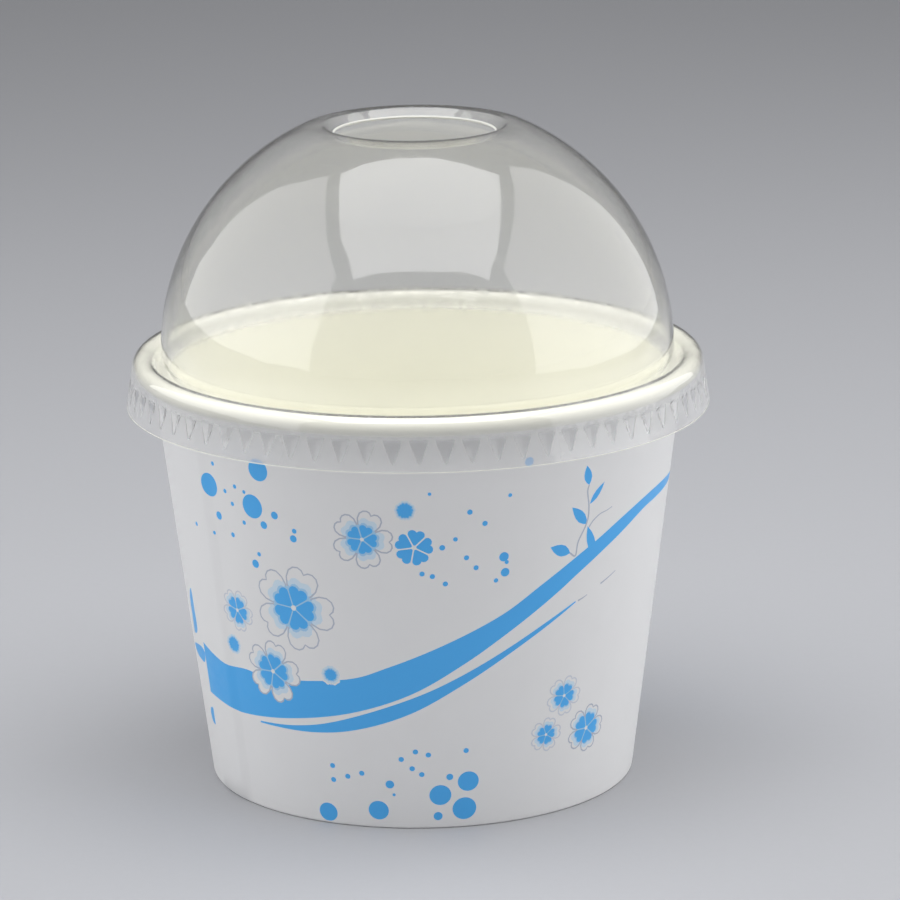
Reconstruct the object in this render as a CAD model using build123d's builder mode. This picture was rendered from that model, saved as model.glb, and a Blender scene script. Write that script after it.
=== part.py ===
from build123d import *
from math import asin, atan2, cos, degrees, hypot, radians, sin, sqrt, tan
import os

# Paper dessert cup with a clear domed lid. Millimetres, standing on z = 0 about the Z axis.
# The front of the print faces -Y.

# Cup, overall
rim_diameter = 98.0
base_diameter = 74.0
cup_height = 74.5
paper_t = 0.35

# Rolled rim: one and a half turns of the wall, rolled outwards
curl_diameter = 3.2
curl_gap = 0.07

# Foot: the wall folds in and up around the skirt of the base disc
recess_depth = 7.0
hem_height = 5.8
seal_gap = 0.03
base_corner = 0.6

# Side seam: the outer ply laps the inner one and eases down on its far side
seam_angle = 202.5
seam_lap = 7.0
seam_ramp = 3.0

# Dome lid, overall
lid_t = 0.35
dome_inset = 4.6
dome_rise = 42.9
dome_foot_above_rim = 0.9
hole_diameter = 27.8
lip_reach = 2.2
shoulder_reach = 3.9
lip_angle = 40.0
crest_radius = 1.0

# Lid on the rim
rim_fit = 0.1
skirt_flare = 8.5
skirt_below_rim = 8.5
ring_lean = 20.0
ring_depth = 2.6
ring_corner = 0.5
foot_radius = 2.5
foot_lean = 30.0

# Dents pressed into the skirt
dent_count = 72
dent_below_rim = 3.3
dent_height = 3.6
dent_lean = 16.0
dent_clear = 0.05

# Wall line: touches the outside of the foot at z = 0 and runs into the curl
base_r = base_diameter / 2
curl_r = curl_diameter / 2
curl_x = rim_diameter / 2 - curl_r
curl_z = cup_height - curl_r
wall_reach = hypot(curl_x - base_r, curl_z)
wall_a = atan2(curl_x - base_r, curl_z) - asin((curl_r - paper_t) / wall_reach)
sin_a = sin(wall_a)
cos_a = cos(wall_a)


def wall_x(depth, z):
    """Radius at height z of the line lying this deep inside the outer face of the wall."""
    return base_r - (depth - z * sin_a) / cos_a


def turned(centre, radius, angle):
    """Point on a circle, the angle in radians from the outward direction."""
    return (centre[0] + radius * cos(angle), centre[1] + radius * sin(angle))


os.makedirs("parts", exist_ok=True)

# ---------------------------------------------------------------- sidewall
mid = paper_t / 2
fold_r = mid + seal_gap
fold_z = mid + fold_r
hem_in = mid + 2 * (paper_t + seal_gap)
outer_fold = (wall_x(mid + fold_r, fold_z), fold_z)
inner_fold = (wall_x(hem_in - fold_r, fold_z), fold_z)
turn_in = -wall_a
turn_up = radians(180) - wall_a
curl_pitch = paper_t + curl_gap
roll_1 = curl_r - mid
roll_2 = roll_1 - curl_pitch / 2
roll_3 = roll_1 - curl_pitch
curl_c = (curl_x, curl_z)
curl_c2 = turned(curl_c, curl_pitch / 2, turn_in)

with BuildPart() as sidewall:
    with BuildSketch(Plane.XZ):
        with BuildLine():
            Line((wall_x(hem_in, hem_height), hem_height), turned(inner_fold, fold_r, turn_up))
            ThreePointArc(
                turned(inner_fold, fold_r, turn_up),
                turned(inner_fold, fold_r, (turn_up + radians(270)) / 2),
                turned(inner_fold, fold_r, radians(270)),
            )
            Line(turned(inner_fold, fold_r, radians(270)), turned(outer_fold, fold_r, radians(270)))
            ThreePointArc(
                turned(outer_fold, fold_r, radians(270)),
                turned(outer_fold, fold_r, (turn_in + radians(270) - radians(360)) / 2),
                turned(outer_fold, fold_r, turn_in),
            )
            Line(turned(outer_fold, fold_r, turn_in), turned(curl_c, roll_1, turn_up))
            ThreePointArc(
                turned(curl_c, roll_1, turn_up),
                turned(curl_c, roll_1, turn_up - radians(90)),
                turned(curl_c, roll_1, turn_in),
            )
            ThreePointArc(
                turned(curl_c, roll_1, turn_in),
                turned(curl_c2, roll_2, turn_in - radians(90)),
                turned(curl_c2, roll_2, turn_up),
            )
            ThreePointArc(
                turned(curl_c2, roll_2, turn_up),
                turned(curl_c, roll_3, turn_up - radians(90)),
                turned(curl_c, roll_3, turn_in),
            )
        trace(line_width=paper_t)
    revolve(axis=Axis.Z)
    # Outer ply of the lap, sunk half a paper into the wall so the seal is one body
    seam_levels = (2 * fold_z, curl_z)
    for level in seam_levels:
        lap_end = seam_angle + degrees(seam_lap / base_r)
        ramp_end = lap_end + degrees(seam_ramp / base_r)
        ply_r = wall_x(-paper_t, level)
        wall_r = wall_x(mid / 2, level)
        sunk_r = wall_x(mid, level)
        with BuildSketch(Plane.XY.offset(level)):
            with BuildLine():
                ply = CenterArc((0, 0), ply_r, seam_angle, lap_end - seam_angle)
                sunk = CenterArc((0, 0), sunk_r, seam_angle, ramp_end - seam_angle)
                ease = PolarLocations(wall_r, 1, ramp_end).locations[0].position
                Line(sunk @ 0, ply @ 0)
                Line(ply @ 1, ease)
                Line(ease, sunk @ 1)
            make_face()
    loft(ruled=True)
sidewall.part.label = "sidewall"
export_step(sidewall.part, "parts/sidewall.step")

# ---------------------------------------------------------------- base_disc
disc_z = recess_depth + mid
skirt_in = mid + paper_t + seal_gap
corner_z = disc_z - base_corner
corner = (wall_x(skirt_in + base_corner, corner_z), corner_z)
skirt_end_z = paper_t + 2 * seal_gap

with BuildPart() as base_disc:
    with BuildSketch(Plane.XZ):
        with BuildLine():
            Line((0, disc_z), turned(corner, base_corner, radians(90)))
            ThreePointArc(
                turned(corner, base_corner, radians(90)),
                turned(corner, base_corner, (radians(90) + turn_in) / 2),
                turned(corner, base_corner, turn_in),
            )
            Line(turned(corner, base_corner, turn_in), (wall_x(skirt_in, skirt_end_z), skirt_end_z))
        trace(line_width=paper_t)
    revolve(axis=Axis.Z)
base_disc.part.label = "base_disc"
export_step(base_disc.part, "parts/base_disc.step")

# ---------------------------------------------------------------- dome_lid
film = lid_t / 2
dome_a = rim_diameter / 2 - dome_inset - film
dome_b = dome_rise - film
dome_z = cup_height + dome_foot_above_rim
dome_c = (0, dome_z)
crest_x = hole_diameter / 2 + lip_reach
shoulder_r = crest_x + shoulder_reach
shoulder_t = atan2(sqrt(dome_a**2 - shoulder_r**2), shoulder_r)
shoulder_z = dome_z + dome_b * sin(shoulder_t)
shoulder_a = atan2(dome_b * cos(shoulder_t), dome_a * sin(shoulder_t))
shoulder_blend = (shoulder_r - crest_x) / sin(shoulder_a)
blend_c = (crest_x, shoulder_z - shoulder_blend * cos(shoulder_a))
crest_c = (crest_x, blend_c[1] + shoulder_blend - crest_radius)
lip_top = turned(crest_c, crest_radius, radians(90 + lip_angle))
lip_run = lip_top[0] - hole_diameter / 2 + lid_t
lip_end = (lip_top[0] - lip_run, lip_top[1] - lip_run * tan(radians(lip_angle)))

seat_r = curl_r + rim_fit + film
flare = radians(skirt_flare)
skirt_top = turned(curl_c, seat_r, flare)
skirt_z = cup_height - skirt_below_rim
skirt_end = (skirt_top[0] + (skirt_top[1] - skirt_z) * tan(flare), skirt_z)
lean = radians(ring_lean)
foot_a = radians(foot_lean)
ring_top = turned(curl_c, seat_r, radians(180) - lean)
foot_c = (dome_a - foot_radius, dome_z)
foot_end = turned(foot_c, foot_radius, -foot_a)
ring_z = cup_height - ring_depth + film
ring_cz = ring_z + ring_corner
ring_out_x = ring_top[0] - (ring_corner - sin(lean) * (ring_cz - ring_top[1])) / cos(lean)
ring_in_x = foot_end[0] + (ring_corner + sin(foot_a) * (ring_cz - foot_end[1])) / cos(foot_a)
ring_out = (ring_out_x, ring_cz)
ring_in = (ring_in_x, ring_cz)

dent_a = radians(dent_lean)
dent_top = cup_height - dent_below_rim
dent_low = dent_top - dent_height
dent_tip = rim_diameter / 2 + dent_clear


def skirt_x(z):
    """Radius of the middle of the skirt's film at height z."""
    return skirt_top[0] + (skirt_top[1] - z) * tan(flare)


def dent_wedge(tip_x, back_x):
    """Triangle in plan with its tip inwards, the sides at the lean of a dent."""
    half = (back_x - tip_x) / tan(dent_a)
    Polyline((tip_x, 0), (back_x, half), (back_x, -half), (tip_x, 0))


with BuildPart() as dome_lid:
    with BuildSketch(Plane.XZ):
        with BuildLine():
            Line(skirt_end, skirt_top)
            ThreePointArc(
                skirt_top,
                turned(curl_c, seat_r, (flare + radians(180) - lean) / 2),
                ring_top,
            )
            Line(ring_top, turned(ring_out, ring_corner, -lean))
            ThreePointArc(
                turned(ring_out, ring_corner, -lean),
                turned(ring_out, ring_corner, (-lean - radians(90)) / 2),
                turned(ring_out, ring_corner, radians(-90)),
            )
            Line(turned(ring_out, ring_corner, radians(-90)), turned(ring_in, ring_corner, radians(-90)))
            ThreePointArc(
                turned(ring_in, ring_corner, radians(-90)),
                turned(ring_in, ring_corner, -(radians(90 + 180) + foot_a) / 2),
                turned(ring_in, ring_corner, -(radians(180) + foot_a)),
            )
            Line(turned(ring_in, ring_corner, -(radians(180) + foot_a)), foot_end)
            ThreePointArc(
                foot_end,
                turned(foot_c, foot_radius, -foot_a / 2),
                turned(foot_c, foot_radius, 0),
            )
            EllipticalCenterArc(dome_c, dome_a, dome_b, 0, arc_size=degrees(shoulder_t))
            ThreePointArc(
                (shoulder_r, shoulder_z),
                turned(blend_c, shoulder_blend, radians(90) - shoulder_a / 2),
                turned(blend_c, shoulder_blend, radians(90)),
            )
            ThreePointArc(
                turned(crest_c, crest_radius, radians(90)),
                turned(crest_c, crest_radius, radians(90 + lip_angle / 2)),
                lip_top,
            )
            Line(lip_top, lip_end)
        trace(line_width=lid_t)
    revolve(axis=Axis.Z)
    # The hole is die-cut straight through the turned-in lip
    with BuildSketch(Plane.XY.offset(lip_end[1] - lid_t)):
        Circle(hole_diameter / 2)
    extrude(amount=2 * crest_radius + lid_t, mode=Mode.SUBTRACT)
    # Back of each dent, one film deep, then its hollow
    with BuildPart(mode=Mode.PRIVATE) as dent_back:
        with BuildSketch(Plane.XY.offset(dent_top + lid_t)):
            with BuildLine():
                dent_wedge(dent_tip, skirt_x(dent_top))
            make_face()
        with BuildSketch(Plane.XY.offset(dent_low - film)):
            with BuildLine():
                dent_wedge(skirt_x(dent_low) - film, skirt_x(dent_low))
            make_face()
        loft(ruled=True)
    with PolarLocations(0, dent_count):
        add(dent_back.part)
    with BuildPart(mode=Mode.PRIVATE) as dent_hollow:
        with BuildSketch(Plane.XY.offset(dent_top)):
            with BuildLine():
                dent_wedge(dent_tip + lid_t / cos(dent_a), skirt_x(dent_top) + 1.1 * film)
            make_face()
        with BuildSketch(Plane.XY.offset(dent_low)):
            with BuildLine():
                dent_wedge(skirt_x(dent_low) + 0.9 * film, skirt_x(dent_low) + 1.1 * film)
            make_face()
        loft(ruled=True)
    with PolarLocations(0, dent_count):
        add(dent_hollow.part, mode=Mode.SUBTRACT)
dome_lid.part.label = "dome_lid"
export_step(dome_lid.part, "parts/dome_lid.step")
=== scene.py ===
"""Printed paper dessert cup with a clear dome lid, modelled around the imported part."""

from math import asin, atan2, cos, degrees, hypot, pi, radians, sin, sqrt, tan

import bmesh
import bpy
from bpy.props import FloatProperty, FloatVectorProperty, IntProperty, PointerProperty
from mathutils import Matrix, Vector
from mathutils.geometry import delaunay_2d_cdt


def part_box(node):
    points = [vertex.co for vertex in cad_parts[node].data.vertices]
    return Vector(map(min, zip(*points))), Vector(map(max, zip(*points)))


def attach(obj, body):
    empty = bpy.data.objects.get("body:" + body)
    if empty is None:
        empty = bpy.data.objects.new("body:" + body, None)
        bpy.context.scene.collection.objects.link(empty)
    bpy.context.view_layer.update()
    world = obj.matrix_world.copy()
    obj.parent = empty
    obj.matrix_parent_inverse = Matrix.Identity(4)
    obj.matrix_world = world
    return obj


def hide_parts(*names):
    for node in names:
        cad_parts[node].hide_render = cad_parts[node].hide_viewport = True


bl_info = {
    "name": "Paper Dessert Cup",
    "version": (1, 0, 0),
    "blender": (4, 5, 0),
    "location": "View3D > Sidebar > Dessert Cup",
    "description": "Builds a printed paper dessert cup and its clear dome lid",
    "category": "Add Mesh",
}

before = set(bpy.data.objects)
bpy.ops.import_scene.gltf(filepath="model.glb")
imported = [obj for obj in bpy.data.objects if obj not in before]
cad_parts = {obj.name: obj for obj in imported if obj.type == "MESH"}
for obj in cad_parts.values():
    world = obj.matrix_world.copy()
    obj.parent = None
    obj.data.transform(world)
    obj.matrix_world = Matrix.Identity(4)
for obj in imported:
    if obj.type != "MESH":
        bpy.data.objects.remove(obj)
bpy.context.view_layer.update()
WALL_LOW, WALL_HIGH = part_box("sidewall")
DISC_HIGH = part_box("base_disc")[1]
LID_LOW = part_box("dome_lid")[0]
MM = 0.001

# Sizes in metres
BOARD = 0.35 * MM
# Where the skirt's haze has faded out, and what the dome keeps of it
SKIRT_TOP = WALL_HIGH.z
DOME_HAZE = 0.02
# A long lens from in front and 15 degrees above, rolled by a hair
CAMERA_PLACE = Vector((0.0, -0.80052, 0.26756))
CAMERA_LENS = 190.13
CAMERA_RIGHT = Vector((0.99988632, -0.00977437, -0.01148058))
CAMERA_AHEAD = Vector((0.00652718, 0.96697461, -0.25478911))
# PET sheet bends light by about 1.575. The sheet's reflections were matched above that, the dents' below: the
# dents' lower bend dims their reflections, a painted shade
SHEET_BEND = 1.68
DENT_SHADE_BEND = 1.5


def linear(code):
    """An sRGB hex colour as the linear red, green and blue that Blender works in."""
    parts = [int(code[i : i + 2], 16) / 255 for i in (1, 3, 5)]
    return [p / 12.92 if p <= 0.04045 else ((p + 0.055) / 1.055) ** 2.4 for p in parts]


# ------------------------------------------------------------------ settings


def length(label, text, default):
    return FloatProperty(name=label, description=text, default=default, min=0.0, unit="LENGTH", precision=5)


def colour(label, text, code):
    return FloatVectorProperty(
        name=label, description=text, default=linear(code), min=0.0, max=1.0, size=3, subtype="COLOR"
    )


def amount(label, text, default):
    return FloatProperty(name=label, description=text, default=default, min=0.0)


class CupSizes(bpy.types.PropertyGroup):
    """Sizes of the paper cup."""

    rim_diameter: length("Rim diameter", "Across the outside of the rolled rim", WALL_HIGH.x - WALL_LOW.x)
    foot_diameter: length("Foot diameter", "Across the outside of the foot", 0.074)
    height: length("Height", "From the table to the top of the rolled rim", WALL_HIGH.z)
    board: length("Board", "Thickness of the paperboard", BOARD)
    curl_diameter: length("Curl diameter", "Across the rolled rim's section", 0.0032)
    recess: length("Recess", "How far the base disc sits above the table", DISC_HIGH.z - BOARD)
    hem: length("Hem", "Height of the fold turned up inside the foot", 0.0058)
    seam_lap: length("Seam lap", "How far the outer ply laps the inner one", 0.007)
    seam_angle: FloatProperty(
        name="Seam angle",
        description="Where the outer ply's cut edge stands, round from the front",
        default=radians(-67.5),
        subtype="ANGLE",
    )


class CupColours(bpy.types.PropertyGroup):
    """Colours of the board and its inks."""

    board_white: colour("Board white", "Bleached board seen from outside", "#F0F0F0")
    lining_cream: colour("Lining cream", "Bleached board under its clear lining", "#F0EFE1")
    ink_blue: colour("Ink blue", "The solid process blue of the print", "#4EB4FA")
    ink_glow: colour("Glow", "The blue's tint next to the petals", "#A6D2F3")
    ink_haze: colour("Haze", "The palest tint round the flowers", "#D3E6F5")
    ink_line: colour("Outline", "Fine grey line round the petals", "#BBC1D0")
    ink_faint: colour("Faint outline", "The paler of the grey lines", "#D3D8E2")
    cut_edge: colour("Cut edge", "Bare fibres where the board is cut", "#E9E7E1")


class LidSizes(bpy.types.PropertyGroup):
    """Sizes of the thermoformed lid."""

    film: length("Film", "Thickness of the clear sheet", 0.00035)
    dome_inset: length("Dome inset", "From the rim's outside in to the dome", 0.0046)
    dome_rise: length("Dome rise", "Height of the dome's full curve", 0.0429)
    hole_diameter: length("Hole diameter", "Across the spoon hole", 0.0278)
    skirt_depth: length("Skirt depth", "From the rim's top to the skirt's edge", WALL_HIGH.z - LID_LOW.z)
    skirt_flare: FloatProperty(
        name="Skirt flare",
        description="Slope of the skirt off the upright",
        default=radians(8.5),
        subtype="ANGLE",
    )
    dents: IntProperty(name="Dents", description="Grip dents round the skirt", default=72, min=12)


class StageSettings(bpy.types.PropertyGroup):
    """Floor and lamps."""

    floor_colour: colour("Floor", "Plain pale floor", "#A3A4A8")
    overhead_power: amount("Overhead softbox", "Its power in watts", 2.4)
    side_power: amount("Side softboxes", "Power of each in watts", 4.8)
    ceiling_power: amount("Ceiling", "Power of the wide lamp overhead in watts", 50.0)
    room_colour: colour("Room", "Colour of the light all round", "#E6E6E8")
    room_light: amount("Room light", "Strength of the light all round", 0.15)


# ------------------------------------------------------------------ modelling helpers


def only(obj):
    """Deselects everything, then selects this object and makes it the active one."""
    bpy.ops.object.select_all(action="DESELECT")
    obj.select_set(True)
    bpy.context.view_layer.objects.active = obj


def pick(obj, test):
    """Selects the vertices of the mesh being edited that stand where the test says."""
    mesh = bmesh.from_edit_mesh(obj.data)
    mesh.select_mode = {"VERT"}
    bpy.ops.mesh.select_all(action="DESELECT")
    for v in mesh.verts:
        v.select = bool(test(v.co))
    mesh.select_flush_mode()
    bmesh.update_edit_mesh(obj.data)


def turned(centre, radius, angle):
    """Point on a circle in the half plane of radius and height, the angle in degrees from outwards."""
    return (centre[0] + radius * cos(radians(angle)), centre[1] + radius * sin(radians(angle)))


def arc(centre, radius, start, end, step=15.0):
    """Points on a circle from one angle to another, no more than a step apart."""
    count = max(2, int(abs(end - start) / step + 0.999))
    return [turned(centre, radius, start + (end - start) * i / count) for i in range(count + 1)]


def lone_vertex(name, place):
    """A new mesh of one vertex, left selected in edit mode."""
    bpy.ops.object.select_all(action="DESELECT")
    bpy.ops.mesh.primitive_plane_add(size=MM, location=place)
    obj = bpy.context.object
    obj.name = obj.data.name = name
    bpy.ops.object.transform_apply(location=True, rotation=False, scale=False)
    bpy.ops.object.mode_set(mode="EDIT")
    bpy.ops.mesh.select_all(action="SELECT")
    bpy.ops.mesh.merge(type="CENTER")
    return obj


def spun(name, outline, steps, azimuth=0.0):
    """Extrudes a vertex along an outline of (radius, height) points, and spins it once round the axis."""

    def place(p):
        return Vector((p[0] * cos(azimuth), p[0] * sin(azimuth), p[1]))

    obj = lone_vertex(name, place(outline[0]))
    for here, there in zip(outline, outline[1:]):
        bpy.ops.mesh.extrude_vertices_move(TRANSFORM_OT_translate={"value": place(there) - place(here)})
    bpy.ops.mesh.select_all(action="SELECT")
    bpy.ops.mesh.spin(steps=steps, angle=2 * pi, center=(0, 0, 0), axis=(0, 0, 1))
    bpy.ops.mesh.select_all(action="SELECT")
    bpy.ops.mesh.remove_doubles(threshold=1e-6)
    bpy.ops.object.mode_set(mode="OBJECT")
    return obj


def in_edit_mode(operator, **settings):
    """Runs one of the mesh operators on all of the active object."""
    bpy.ops.object.mode_set(mode="EDIT")
    bpy.ops.mesh.select_all(action="SELECT")
    operator(**settings)
    bpy.ops.object.mode_set(mode="OBJECT")


def joined(obj, other):
    """Joins the other object to this one and welds what meets."""
    only(obj)
    other.select_set(True)
    bpy.ops.object.join()
    in_edit_mode(bpy.ops.mesh.remove_doubles, threshold=5e-7)
    return obj


def give(obj, materials):
    for material in materials:
        obj.data.materials.append(material)


def faces_out(obj):
    """Turns every face of a closed mesh outwards."""
    only(obj)
    in_edit_mode(bpy.ops.mesh.normals_make_consistent, inside=False)
    mesh = bmesh.new()
    mesh.from_mesh(obj.data)
    volume = mesh.calc_volume(signed=True)
    open_edges = sum(1 for e in mesh.edges if len(e.link_faces) != 2)
    mesh.free()
    if volume <= 0:
        raise RuntimeError(f"{obj.name} is inside out")
    if open_edges:
        raise RuntimeError(f"{obj.name} has {open_edges} open edges")


# ------------------------------------------------------------------ materials


def add(nodes, kind, settings, links):
    """Adds one node, sets its attributes or inputs, and links inputs from sockets or nodes' first outputs."""
    node = nodes.new(kind)
    for key, value in settings.items():
        if isinstance(key, int) or key in node.inputs:
            node.inputs[key].default_value = value
        else:
            setattr(node, key, value)
    for key, source in links.items():
        socket = source.outputs[0] if isinstance(source, bpy.types.Node) else source
        nodes.id_data.links.new(socket, node.inputs[key])
    return node


def start(name, body):
    """A new material with a plain viewport colour, its emptied nodes, and the piece's own coordinates."""
    material = bpy.data.materials.new(name)
    material.use_nodes = True
    nodes = material.node_tree.nodes
    nodes.clear()
    material.diffuse_color = (*body, 1)
    return material, nodes, add(nodes, "ShaderNodeTexCoord", {}, {}).outputs["Object"]


def coated_cupstock(name, body, rough, tooth, mottle):
    """Solid bleached cupstock, clay coated and calendered: near white, softly glossy, its fibres
    just lifting the surface and clouding the sheet at the size of a few millimetres."""
    material, nodes, place = start(name, body)
    # Formation: fibre flocs of 4 to 8 mm cloud the sheet
    flocs = {"Scale": 1 / (6 * MM), "Detail": 3.0, "Roughness": 0.55}
    cloud = add(nodes, "ShaderNodeTexNoise", flocs, {"Vector": place})
    # Fibre tooth: 0.5 mm, coarser than the real 0.05 mm fibres so that it shows
    fibres = {"Scale": 1 / (0.5 * MM), "Detail": 4.0, "Roughness": 0.6}
    fibre = add(nodes, "ShaderNodeTexNoise", fibres, {"Vector": place})
    shade = (*[c * (1 - mottle) for c in body], 1)
    tint = add(nodes, "ShaderNodeMix", {"data_type": "RGBA", 6: shade, 7: (*body, 1)}, {0: cloud})
    shine = {"From Min": 0.3, "From Max": 0.7, "To Min": rough - 0.06, "To Max": rough + 0.07}
    gloss = add(nodes, "ShaderNodeMapRange", shine, {"Value": cloud})
    relief = add(nodes, "ShaderNodeBump", {"Strength": tooth, "Distance": 0.05 * MM}, {"Height": fibre})
    swell = {"Strength": 0.25, "Distance": 0.12 * MM}
    wave = add(nodes, "ShaderNodeBump", swell, {"Height": cloud, "Normal": relief})
    links = {"Base Color": tint.outputs[2], "Roughness": gloss, "Normal": wave}
    board = add(nodes, "ShaderNodeBsdfPrincipled", {"IOR": 1.5}, links)
    add(nodes, "ShaderNodeOutputMaterial", {}, {"Surface": board})
    return material


def printed_ink(name, body, rough):
    """Water-based flexographic ink under the cup's thin clear coat: an even film of colour on the
    calendered board, a little glossier than it, with faint plate pressure mottle in its shine."""
    material, nodes, place = start(name, body)
    # Plate mottle of about 2 mm in the shine, over the board's 0.5 mm tooth
    mottle = add(nodes, "ShaderNodeTexNoise", {"Scale": 1 / (2 * MM), "Detail": 3.0}, {"Vector": place})
    fibre = add(nodes, "ShaderNodeTexNoise", {"Scale": 1 / (0.5 * MM), "Detail": 4.0}, {"Vector": place})
    shine = {"From Min": 0.3, "From Max": 0.7, "To Min": rough - 0.07, "To Max": rough + 0.08}
    gloss = add(nodes, "ShaderNodeMapRange", shine, {"Value": mottle})
    relief = add(nodes, "ShaderNodeBump", {"Strength": 0.12, "Distance": 0.05 * MM}, {"Height": fibre})
    settings = {"Base Color": (*body, 1), "IOR": 1.5}
    ink = add(nodes, "ShaderNodeBsdfPrincipled", settings, {"Roughness": gloss, "Normal": relief})
    add(nodes, "ShaderNodeOutputMaterial", {}, {"Surface": ink})
    return material


def matt_surface(name, body, grain, detail, darker, strength, rough, bend):
    """A matt surface whose one grain both shades it and lifts it."""
    material, nodes, place = start(name, body)
    spot = add(nodes, "ShaderNodeTexNoise", {"Scale": 1 / grain, "Detail": detail}, {"Vector": place})
    shade = (*[c * darker for c in body], 1)
    tint = add(nodes, "ShaderNodeMix", {"data_type": "RGBA", 6: shade, 7: (*body, 1)}, {0: spot})
    relief = add(nodes, "ShaderNodeBump", {"Strength": strength, "Distance": 0.05 * MM}, {"Height": spot})
    links = {"Base Color": tint.outputs[2], "Normal": relief}
    face = add(nodes, "ShaderNodeBsdfPrincipled", {"Roughness": rough, "IOR": bend}, links)
    add(nodes, "ShaderNodeOutputMaterial", {}, {"Surface": face})
    return material


def cut_board(name, body):
    """The die-cut edge of the board, where bare fibre ends of 0.3 mm show: matt, and warmer than its face."""
    return matt_surface(name, body, 0.3 * MM, 2.0, 0.86, 0.4, 0.85, 1.5)


def painted_board(name, body):
    """Matt painted board: an even pale sweep with a faint roller stipple of 1.5 mm."""
    return matt_surface(name, body, 1.5 * MM, 3.0, 0.97, 0.1, 0.7, 1.45)


def clear_film(name, skirt_haze, bend):
    """Thermoformed PET sheet: water clear and glossy, with the slow waves that stretching the warm
    sheet over the mould leaves in its reflections. The haze is that of the skirt."""
    material, nodes, place = start(name, (0.8, 0.85, 0.9))
    # Sheet stretch: waves of 14 mm, and fine mould haze of 1.5 mm
    stretch = add(nodes, "ShaderNodeTexNoise", {"Scale": 1 / (14 * MM), "Detail": 1.5}, {"Vector": place})
    mould = add(nodes, "ShaderNodeTexNoise", {"Scale": 1 / (1.5 * MM), "Detail": 3.0}, {"Vector": place})
    shine = {"From Min": 0.35, "From Max": 0.7, "To Min": 0.03, "To Max": 0.09}
    gloss = add(nodes, "ShaderNodeMapRange", shine, {"Value": mould})
    wave = add(nodes, "ShaderNodeBump", {"Strength": 0.5, "Distance": 0.35 * MM}, {"Height": stretch})
    clear = {"Base Color": (1.0, 1.0, 1.0, 1), "Transmission Weight": 1.0, "IOR": bend}
    film = add(nodes, "ShaderNodeBsdfPrincipled", clear, {"Roughness": gloss, "Normal": wave})
    # Haze: the sheet scatters a little light, more in the skirt, which lies against the mould's grain
    height = add(nodes, "ShaderNodeSeparateXYZ", {}, {0: place})
    low, high = SKIRT_TOP - 3.5 * MM, SKIRT_TOP
    fade = {"From Min": low, "From Max": high, "To Min": skirt_haze, "To Max": DOME_HAZE}
    haze = add(nodes, "ShaderNodeMapRange", fade, {"Value": height.outputs["Z"]})
    scatter = add(nodes, "ShaderNodeBsdfTranslucent", {"Color": (0.9, 0.9, 0.9, 1)}, {})
    bounce = add(nodes, "ShaderNodeBsdfDiffuse", {"Color": (0.9, 0.9, 0.9, 1)}, {})
    milk = add(nodes, "ShaderNodeMixShader", {0: 0.5}, {1: scatter, 2: bounce})
    sheet = add(nodes, "ShaderNodeMixShader", {}, {0: haze, 1: film, 2: milk})
    # Lamps reach what stands under the film, a little dimmed
    path = add(nodes, "ShaderNodeLightPath", {}, {})
    through = add(nodes, "ShaderNodeBsdfTransparent", {"Color": (0.985, 0.985, 0.985, 1)}, {})
    rays = {0: path.outputs["Is Shadow Ray"], 1: path.outputs["Is Diffuse Ray"]}
    either = add(nodes, "ShaderNodeMath", {"operation": "MAXIMUM"}, rays)
    whole = add(nodes, "ShaderNodeMixShader", {}, {0: either, 1: sheet, 2: through})
    add(nodes, "ShaderNodeOutputMaterial", {}, {"Surface": whole})
    return material


def cut_film(name):
    """Die-cut edge of PET sheet: the cut is frosted, so it lights up as a fine pale line."""
    material, nodes, place = start(name, (0.9, 0.9, 0.86))
    # Burr left by the cutter, 0.4 mm
    burr = add(nodes, "ShaderNodeTexNoise", {"Scale": 1 / (0.4 * MM), "Detail": 2.0}, {"Vector": place})
    gloss = add(nodes, "ShaderNodeMapRange", {"To Min": 0.35, "To Max": 0.6}, {"Value": burr})
    cut = {"Base Color": (0.85, 0.85, 0.8, 1), "Transmission Weight": 0.5, "IOR": 1.575}
    frost = add(nodes, "ShaderNodeBsdfPrincipled", cut, {"Roughness": gloss})
    add(nodes, "ShaderNodeOutputMaterial", {}, {"Surface": frost})
    return material


# ------------------------------------------------------------------ the print
# Places are (degrees round from the front, height in mm). The motifs face the front, and are
# printed again on the far side.

FAR_SIDE = 177.0

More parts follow.
